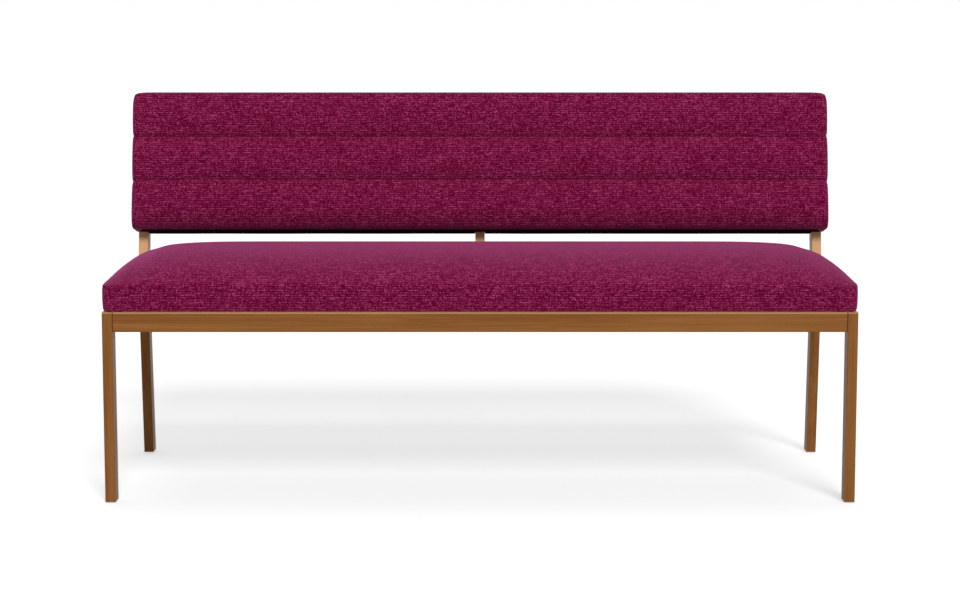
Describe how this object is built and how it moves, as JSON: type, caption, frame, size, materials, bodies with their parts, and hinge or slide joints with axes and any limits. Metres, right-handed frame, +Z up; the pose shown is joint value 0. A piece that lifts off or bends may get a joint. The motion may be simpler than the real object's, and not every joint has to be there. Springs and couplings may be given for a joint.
{
  "type": "upholstered banquette bench",
  "caption": "Armless bench: slim timber frame with raked rear legs, crowned woven seat cushion and a reclined backrest sewn in horizontal channels.",
  "frame": {"origin": "on the floor under the middle of the bench's box", "axes": "+X along the bench to the right as seen from the front, +Y from the front to the backrest, +Z up"},
  "size_m": [1.542, 0.6292, 0.8161],
  "materials": {
    "frame_timber": "satin",
    "inner_timber": "sawn",
    "plywood": "sanded",
    "board": "smooth",
    "foam": "open cell",
    "woven_cover": "woven",
    "dust_cloth": "nonwoven",
    "fastener_steel": "zinc plated",
    "glide_nylon": "moulded"
  },
  "bodies": {
    "root": {"front_leg_left": "frame_timber", "front_leg_right": "frame_timber", "rear_leg_left": "frame_timber", "rear_leg_right": "frame_timber", "centre_post": "frame_timber", "front_rail": "frame_timber", "rear_rail": "frame_timber", "side_rail_left": "frame_timber", "side_rail_right": "frame_timber", "cross_stretcher_left": "inner_timber", "cross_stretcher_right": "inner_timber", "rear_batten": "inner_timber", "corner_block_front_left": "inner_timber", "corner_block_front_right": "inner_timber", "corner_block_rear_left": "inner_timber", "corner_block_rear_right": "inner_timber", "frame_dowels": "inner_timber", "stretcher_dowels": "inner_timber", "back_top_rail": "inner_timber", "back_bottom_rail_left": "inner_timber", "back_bottom_rail_right": "inner_timber", "back_dowels": "inner_timber", "seat_deck": "plywood", "back_panel": "plywood", "rear_board": "board", "seat_foam": "foam", "back_foam_bottom": "foam", "back_foam_middle": "foam", "back_foam_top": "foam", "back_edge_padding": "foam", "seat_cover": "woven_cover", "back_cover": "woven_cover", "rear_board_cover": "woven_cover", "seat_dust_cover": "dust_cloth", "corner_block_screws": "fastener_steel", "seat_screws": "fastener_steel", "centre_post_screws": "fastener_steel", "seat_staples": "fastener_steel", "back_panel_screws": "fastener_steel", "back_staples": "fastener_steel", "glides": "glide_nylon", "back_bottom_cloth": "dust_cloth"}
  },
  "joints": []
}
